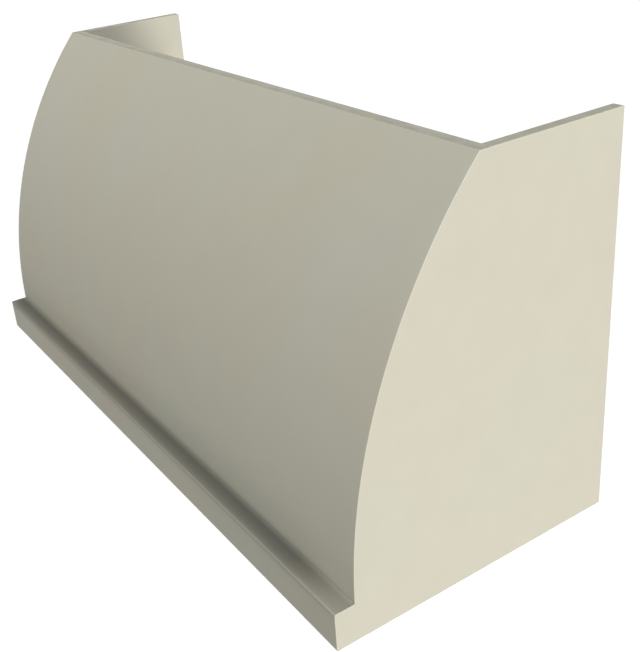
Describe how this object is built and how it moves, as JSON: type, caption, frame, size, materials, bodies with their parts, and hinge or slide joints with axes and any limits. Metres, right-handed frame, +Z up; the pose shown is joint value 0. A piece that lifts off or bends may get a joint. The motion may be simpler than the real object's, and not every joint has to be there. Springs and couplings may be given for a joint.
{
  "type": "wooden range hood cover",
  "caption": "Wall-hung painted wood range hood cover with flat sides, a curved front, an apron along its foot, an open top and a cut-out for an extractor insert.",
  "frame": {"origin": "middle of the footprint, on the plane of the cover's bottom edges", "axes": "+X to the right of someone facing the front, along the width; +Y from the front towards the wall, so the wall plane is the highest Y; +Z up"},
  "size_m": [1.219, 0.488, 0.609],
  "materials": {
    "painted_shell": "smooth satin greige paint on board",
    "bending_ply": "bare bending plywood",
    "birch_ply": "bare sanded birch plywood",
    "softwood": "bare planed softwood",
    "beech_dowel": "bare turned beech",
    "plated_screw": "bright zinc plate"
  },
  "bodies": {
    "root": {"left_side_panel": "painted_shell", "right_side_panel": "painted_shell", "front_outer_ply": "painted_shell", "front_inner_ply": "bending_ply", "apron_board": "painted_shell", "front_bottom_rail": "birch_ply", "top_batten": "softwood", "hanging_rail": "birch_ply", "lower_rear_rail": "birch_ply", "left_end_former": "birch_ply", "right_end_former": "birch_ply", "left_rib": "birch_ply", "right_rib": "birch_ply", "front_ledger": "softwood", "rear_ledger": "softwood", "left_ledger": "softwood", "right_ledger": "softwood", "left_rail_block": "softwood", "right_rail_block": "softwood", "insert_panel": "painted_shell", "apron_dowels": "beech_dowel", "rib_dowels": "beech_dowel", "former_screws": "plated_screw", "apron_screws": "plated_screw", "rib_screws": "plated_screw", "ledger_screws": "plated_screw", "block_screws": "plated_screw", "insert_panel_screws": "plated_screw"}
  },
  "joints": []
}
